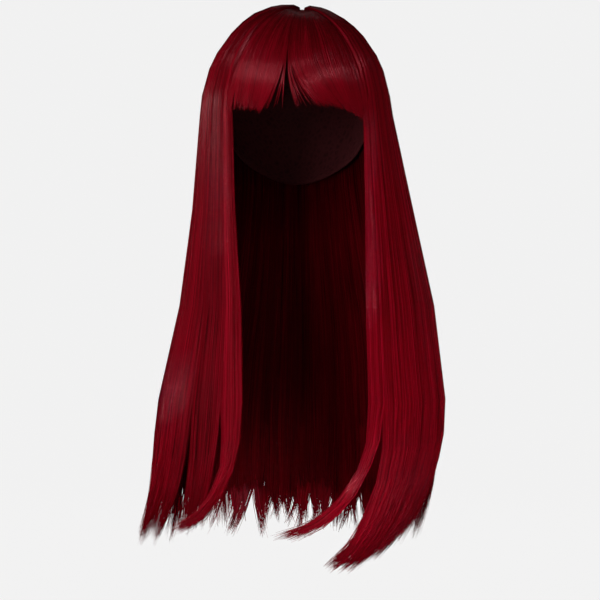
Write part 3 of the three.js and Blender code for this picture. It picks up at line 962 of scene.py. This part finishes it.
def fringe_strands(count):
    """Strands of the fringe, thin and see-through in the middle."""
    counts = (20, 20)
    samples = sum(counts)
    place, sweep = fan_places(count)
    count = len(place)
    stray = rng.random(count) < STRAY_SHARE
    tip_z = np.interp(place, FAN[:, 0], FAN[:, 2])[:, None] + rng.normal(0, FRINGE_SCATTER, (count, 1))
    lock = {"middle": 0.0, "tip": 1.0, "sweep_x": sweep[:, None], "tip_z": tip_z}
    reach = 1.0 - FRINGE_LOSS * rng.random(count) ** 2
    rows = fringe_rows(lock, reach, counts)
    drift = place[:, None] + wander(count, samples, np.where(stray, STRAY_SWAY, FRINGE_SWAY))
    depth = np.abs(rng.normal(0, FRINGE_DEPTH, count))
    under = rng.random(count) < FRINGE_UNDER
    depth = np.where(under, rng.uniform(*UNDER_DEPTHS, count), depth)[:, None]
    depth = depth + wander(count, samples, DEPTH_SWAY)
    root_y = rng.uniform(PART_FRONT_Y, PART_FRONT_Y + ROOT_SPAN, (count, 1))
    gap = rng.uniform(*FRINGE_GAPS, (count, 1))
    paths = smooth_paths(fringe_points(lock, drift, depth, rows, root_y, gap), 3)
    keep = chosen(counts, kept=(7, 8))
    thick = np.where(stray, STRAY_FINE, rng.uniform(*FRINGE_THICK, count))
    clump = np.floor(place / FRINGE_CLUMP).astype(int) + FIRST_CLUMP
    # The fringe is made lighter here as painted light
    tone = lerp(clump_tone(clump, FRINGE_SPREAD), EVEN_TONE, FRINGE_EVEN) + FRINGE_PAINTED_LIGHT
    strands("fringe_strands", paths[:, keep], thick, np.ones(count), tone, hair)


# Lock bodies


def long_insets(rows, rough, edge):
    """How deep the faces of long lock bodies lie, a little inside the strands."""
    wall = read_section("wall", rows[2])
    outer = BODY_SINK + BODY_ROUGH * rough + LOOK_GROOVE * edge * wall
    inner = wall * (1 - EDGE_ROUND * edge * np.minimum(1, 2 * rows[1])) - BODY_ROUGH * rough
    return outer, np.maximum(inner, outer + LEAST_WALL)


def nape_insets(rows, rough, edge):
    """How deep the faces of the under-layer's lock bodies lie."""
    inner = 1 - EDGE_ROUND * edge * np.minimum(1, 2 * rows[1]) - NAPE_ROUGH - NAPE_ROUGH * rough
    return [nape_inset(rows[2], depth) for depth in (NAPE_GROOVE * edge, inner)]


def hanging_body(node, locks, top_z, split_z, counts, insets_of, passes, material):
    """The lock bodies of a hanging panel. counts are rows over the crown, hanging and of the free end."""

    def points_of(number, across):
        lock = pick(locks, number)
        place = around_of(locks, number, across)
        rough = ridges(place, RIDGE_STEP)
        rows = long_rows(lock, top_z, split_z, locks["body"] - ROUGH_END * rough, counts)
        around = np.repeat(place[:, None], sum(counts), axis=1)
        insets = insets_of(rows, rough[:, None], (across**2)[:, None])
        sides = (long_points(lock, around, inset, rows, SLIT) for inset in insets)
        return [smooth_paths(side, passes).swapaxes(0, 1) for side in sides]

    body(node, locks, sum(counts), counts[0] + counts[1], HALF_GIRTH, points_of, material)


def fringe_body():
    """The lock bodies of the fringe, from its left end to its right."""
    counts = (14, 12)
    mirrored = dict(fringe_locks, middle=-fringe_locks["middle"])

    def points_of(number, across):
        lock = pick(fringe_locks, number)
        place = around_of(fringe_locks, number, -across)
        rough = ridges(place, FRINGE_STEP)
        rows = fringe_rows(lock, FRINGE_BODY[number] * (1 - FRINGE_ROUGH * rough), counts)
        edge = (across**2)[:, None]
        outer = FRINGE_SINK + FRINGE_ROUGH * rough[:, None] + FRINGE_GROOVE * edge
        inner = 1 - EDGE_ROUND * edge * np.minimum(1, 2 * rows[1])
        places = np.repeat(place[:, None], sum(counts), axis=1)
        root = (PART_FRONT_Y, FRINGE_ROOT_GAP)
        sides = (fringe_points(lock, places, depth, rows, *root, SLIT) for depth in (outer, inner))
        return [side.swapaxes(0, 1) for side in sides]

    body("fringe", mirrored, sum(counts), counts[0], 1.0, points_of, hair)


# The lock tones carry painted sheen and painted shade as well as the locks' own tones
left_locks = lock_table(LEFT_LOCKS, 1.0, 1, LEFT_TONES_AND_PAINTED_LIGHT, LEFT_OPEN)
right_locks = lock_table(RIGHT_LOCKS, 1.0, -1, RIGHT_TONES_AND_PAINTED_LIGHT, RIGHT_OPEN)
back_locks = even_locks(BACK_LOCKS, BACK_END, BACK_TIP_Z, BACK_SWEEP_X)
nape_locks = even_locks(NAPE_LOCKS, NAPE_END, NAPE_TIP_Z, 0.0)
fringe_locks = lock_table(FRINGE_LOCKS, FRINGE_START_X, 1)

LONG_PANELS = (
    ("side_hair_left", left_locks, SIDE_SPLIT_Z, SIDE_INSIDE),
    ("side_hair_right", right_locks, SIDE_SPLIT_Z, SIDE_INSIDE),
    ("back_hair", back_locks, BACK_SPLIT_Z, 0),
)
for panel, locks, split_z, _ in LONG_PANELS:
    hanging_body(panel, locks, WIDEST_Z, split_z, (22, 14, 12), long_insets, 2, hair)
# The under-layer takes the hair with painted shade
hanging_body("nape_hair", nape_locks, NAPE_TOP_Z, NAPE_SPLIT_Z, (0, 18, 12), nape_insets, 0, painted_shade_under_hair)
fringe_body()
for panel, locks, split_z, inside in LONG_PANELS:
    long_strands(panel, locks, split_z, LONG_STRANDS, inside)
nape_strands(NAPE_STRANDS)
fringe_strands(FRINGE_STRANDS)

# Cap and parting strip


def grid_wall(name, node, outer, inner, ring, material, slot):
    """A closed wall from an outer and an inner grid of points; a ring joins its last column to its first.
    Its outer side has the lower half of the places that the material reads."""
    rows, columns, _ = outer.shape
    index = np.arange(2 * rows * columns).reshape(2, rows, columns)
    if ring:
        index = np.concatenate([index, index[:, :, :1]], axis=2)
    u = np.broadcast_to(np.linspace(0.01, 0.99, index.shape[2]), index.shape[1:])
    v = np.broadcast_to(np.linspace(0.01, 0.49, rows)[:, None], index.shape[1:])
    edge_v = (0.492, 0.492, 0.5, 0.5)
    edge_u = (0.002, 0.002, 0.008, 0.008)
    skin = ([], [])
    for side in (0, 1):
        parts = [cell_corners(grid) for grid in (index[side], u, v + 0.5 * side)]
        add_faces(skin, *(map(turned, parts) if side == 1 else parts))
    for row in (rows - 1,) if ring else (rows - 1, 0):
        parts = (strip_corners(*index[:, row]), strip_corners(u[row], u[row]), edge_v)
        add_faces(skin, *(map(turned, parts) if row == 0 else parts))
    for column in () if ring else (0, columns - 1):
        parts = (strip_corners(*index[:, :, column]), edge_u, strip_corners(v[:, 0], v[:, 0]))
        add_faces(skin, *(map(turned, parts) if column > 0 else parts))
    points = np.concatenate([outer.reshape(-1, 3), inner.reshape(-1, 3)])
    piece = make_piece(name, points, *skin, material, slot)
    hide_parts(node)


def head_point(azimuth, polar, offset):
    """A point at an offset from the head, from its angles round the head and down from the crown."""
    level = np.cos(polar)
    height = np.where(level > 0, CROWN_HEIGHT, NAPE_DEPTH) + offset
    x = (HEAD_HALF[0] + offset) * np.sin(polar) * np.sin(azimuth)
    y = -(HEAD_HALF[1] + offset) * np.sin(polar) * np.cos(azimuth)
    return np.stack([x, y, WIDEST_Z + height * level], axis=-1)


def cap_piece():
    """The cap, with a thicker hem at its edge and knitted ridges inside."""
    turn = np.arange(CAP_COLUMNS) * 360 / CAP_COLUMNS
    edge_z = smooth_read(*CAP_EDGE.T, np.minimum(turn, 360 - turn))
    drop = edge_z - WIDEST_Z
    edge_polar = np.arccos(drop / np.where(drop > 0, CROWN_HEIGHT, NAPE_DEPTH))
    share = CAP_ROWS[:, None]
    polar = share * edge_polar
    hem = HEM_DEPTH * (share > HEM_START)
    azimuth = np.radians(-turn)
    knit = np.sin(polar * KNIT_WAVES) * KNIT_DEPTH
    outer = head_point(azimuth, polar, CAP_WALL - CAP_SINK)
    inner = head_point(azimuth, polar, -hem - knit * (share < HEM_START))
    grid_wall("wig_cap_net", "wig_cap", outer, inner, True, net, "cap_net")


def strip_piece():
    """The strip of false scalp below the parting."""
    columns = PART_X + STRIP_WIDTH * (np.linspace(0, 1, STRIP_COLUMNS) - 0.5)
    x, y = np.meshgrid(columns, np.linspace(PART_FRONT_Y, PART_BACK_Y, STRIP_ROWS))

    def surface(offset):
        across = x / (HEAD_HALF[0] + offset)
        along = y / (HEAD_HALF[1] + offset)
        z = WIDEST_Z + (CROWN_HEIGHT + offset) * np.sqrt(1 - across**2 - along**2)
        return np.stack([x, y, z], axis=-1)

    outer = surface(STRIP_SEAT + STRIP_WALL)
    inner = surface(STRIP_SEAT)
    grid_wall("part_strip_scalp", "part_strip", outer, inner, False, scalp, "false_scalp")


cap_piece()
strip_piece()

# Stage, light and camera

FLOOR_Z = -0.72
WALL_TOP_Z = 7.0
WALL_RADIUS = 7.0
WALL_BEND = 2.0
FLOOR_HOLE = 0.02
WALL_TURNS = 64
BEND_STEPS = 12
PAPER_GLOW = 0.88

# Lights: place, target, width and height, power in watts, and the spread in degrees of a narrow one.
# Left and right are as the camera sees them.
MATT_LIGHTS = (
    ("front", (-1.5, -2.1, 0.0), (0, 0, -0.25), (1.4, 1.4), 57),
    ("right", (1.5, -1.0, -0.9), (0.1, 0, -0.56), (0.5, 0.4), 1.4, 40),
    ("inside", (0.25, -2.2, -0.5), (0, 0.1, -0.3), (0.6, 0.6), 5),
    ("rim_left", (-1.9, 1.2, 0.5), (0, 0, -0.2), (0.8, 1.6), 22),
    ("rim_right", (1.9, 1.2, 0.5), (0, 0, -0.2), (0.8, 1.6), 26),
    ("behind", (0.0, 2.4, 0.4), (0, 0, -0.25), (2.0, 1.4), 26),
)
SHINE_LIGHTS = (
    ("sheen_left", (-1.3, -1.5, 1.5), (0, 0, -0.1), (1.0, 0.3), 14),
    ("sheen_right", (0.6, -1.9, 1.35), (0, 0, -0.1), (0.8, 0.3), 18),
    ("near_left", (-0.64, 0.0, 0.03), (-0.09, -0.03, -0.08), (0.2, 0.1), 0.42),
    ("front_left", (-1.2, -1.9, -0.05), (0, 0, -0.3), (0.5, 0.3), 1.2),
    ("streak_left", (-0.9, -0.35, -0.165), (-0.075, -0.067, -0.165), (0.025, 0.21), 0.0034, 2),
    ("streak_low_left", (-1.0, -0.35, -0.18), (-0.121, -0.053, -0.37), (0.03, 0.07), 0.002, 3),
    ("streak_right", (0.525, -0.736, -0.08), (0.064, -0.083, -0.2), (0.02, 0.2), 0.003, 1.5),
    ("streak_out_right", (1.0, 0.1, 0.14), (0.112, -0.035, -0.265), (0.03, 0.08), 0.0015, 3),
    ("streak_sweep", (-0.405, -0.93, -0.12), (0.047, -0.1, -0.445), (0.08, 0.11), 0.01, 3),
    ("sheen_back", (0.2, 1.5, 1.9), (0, 0, -0.1), (1.2, 0.3), 0.5),
)

CAMERA_X = 0.00294
CAMERA_Z = -0.2761
CAMERA_DISTANCE = 2.0
FIELD = 0.588
SENSOR = 36.0


def backdrop():
    """A pale round floor that curves up into a wall on every side."""
    bend = np.linspace(0, np.pi / 2, BEND_STEPS + 1)
    curve_x = WALL_RADIUS - WALL_BEND + WALL_BEND * np.sin(bend)
    curve_z = FLOOR_Z + WALL_BEND - WALL_BEND * np.cos(bend)
    radius = np.concatenate([[FLOOR_HOLE], curve_x, [WALL_RADIUS]])[:, None]
    height = np.concatenate([[FLOOR_Z], curve_z, [WALL_TOP_Z]])[:, None]
    turn = 2 * np.pi * np.arange(WALL_TURNS) / WALL_TURNS
    points = np.stack(np.broadcast_arrays(radius * np.cos(turn), radius * np.sin(turn), height), axis=-1)
    index = np.arange(radius.size * WALL_TURNS).reshape(-1, WALL_TURNS)
    rings = np.concatenate([index, index[:, :1]], axis=1)
    faces = [np.stack(cell_corners(rings), axis=-1).reshape(-1, 4), index[:1]]
    mesh = new_mesh("backdrop", points.reshape(-1, 3), faces)
    material, tree = new_material("pale_paper")
    grain = add_node(tree, "TexCoord", {}).outputs["Object"]
    tone = noise(tree, grain, scale=3.0, detail=2.0)
    glow = {"Emission Color": (1, 1, 1, 1), "Emission Strength": PAPER_GLOW}
    set_surface(tree, set_ramp(tree, tone, PAPER_COLOURS), roughness=0.9, specular=0.1, more=glow)
    mesh.materials.append(material)
    sheet = add_object("backdrop", mesh)
    sheet.visible_glossy = False
    sheet.visible_diffuse = False
    sheet.visible_shadow = False


def area_light(name, place, target, size, power, spread=180, *, matt):
    """A soft light that lights matt surfaces or else shows in shiny ones."""
    light = bpy.data.lights.new(name, "AREA")
    light.shape = "RECTANGLE"
    light.size, light.size_y = size
    light.energy = power
    light.spread = math.radians(spread)
    lamp = add_object(name, light)
    lamp.location = place
    x, y, z = (t - p for t, p in zip(target, place))
    tilt = math.pi / 2 + math.atan2(z, math.hypot(x, y))
    lamp.rotation_euler = (tilt, 0, math.atan2(y, x) - math.pi / 2)
    lamp.visible_camera = False
    lamp.visible_diffuse = matt
    lamp.visible_glossy = not matt


backdrop()
for row in MATT_LIGHTS:
    area_light(*row, matt=True)
for row in SHINE_LIGHTS:
    area_light(*row, matt=False)

world = bpy.data.worlds.new("studio")
world.use_nodes = True
fill(world.node_tree, world.node_tree.nodes["Background"], {"Color": (1, 0.2, 0.22, 1), "Strength": 0.07})
scene = bpy.context.scene
scene.world = world
scene.view_settings.view_transform = "Standard"

camera_data = bpy.data.cameras.new("camera")
camera_data.sensor_width = SENSOR
camera_data.lens = SENSOR * CAMERA_DISTANCE / FIELD
camera = add_object("camera", camera_data)
camera.location = (CAMERA_X, -CAMERA_DISTANCE, CAMERA_Z)
camera.rotation_euler = (math.pi / 2, 0, 0)
scene.camera = camera
